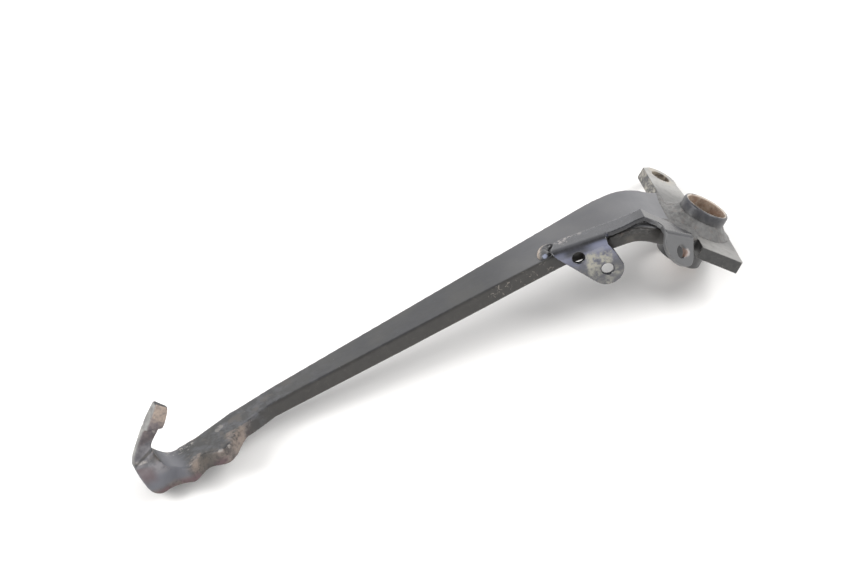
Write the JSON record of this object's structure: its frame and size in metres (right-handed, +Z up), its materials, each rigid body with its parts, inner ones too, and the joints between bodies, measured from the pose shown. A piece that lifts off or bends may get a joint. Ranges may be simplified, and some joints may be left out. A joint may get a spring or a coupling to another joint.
{
  "type": "motorcycle foot brake pedal",
  "caption": "Welded steel foot brake pedal: bent tapered arm with toothed toe hook, pivot tube, plate with lever ear and stop tail, and a folded drilled bracket.",
  "frame": {"origin": "centre of the part's footprint on the surface it lies on", "axes": "+Z up from that surface, +X from the toe hook towards the pivot tube, +Y towards the lever ear"},
  "size_m": [0.3104, 0.0902, 0.0511],
  "materials": {
    "arm_paint": "worn satin black paint with rust specks",
    "plate_paint": "worn satin black paint, dusty",
    "tube_steel": "thin black paint outside, bare rusty bore",
    "bracket_paint": "gloss black paint",
    "weld_paint": "painted weld bead with spatter",
    "weld_bare": "weld bead with worn paint and surface rust"
  },
  "bodies": {
    "root": {"arm": "arm_paint", "cross_plate": "plate_paint", "pivot_tube": "tube_steel", "bracket": "bracket_paint", "weld_tube_top": "weld_paint", "weld_tube_bottom": "weld_paint", "weld_seam_top": "weld_paint", "weld_seam_under": "weld_paint", "weld_bracket_front": "weld_bare", "weld_bracket_edge": "weld_paint", "weld_bracket_hub": "weld_bare"}
  },
  "joints": []
}
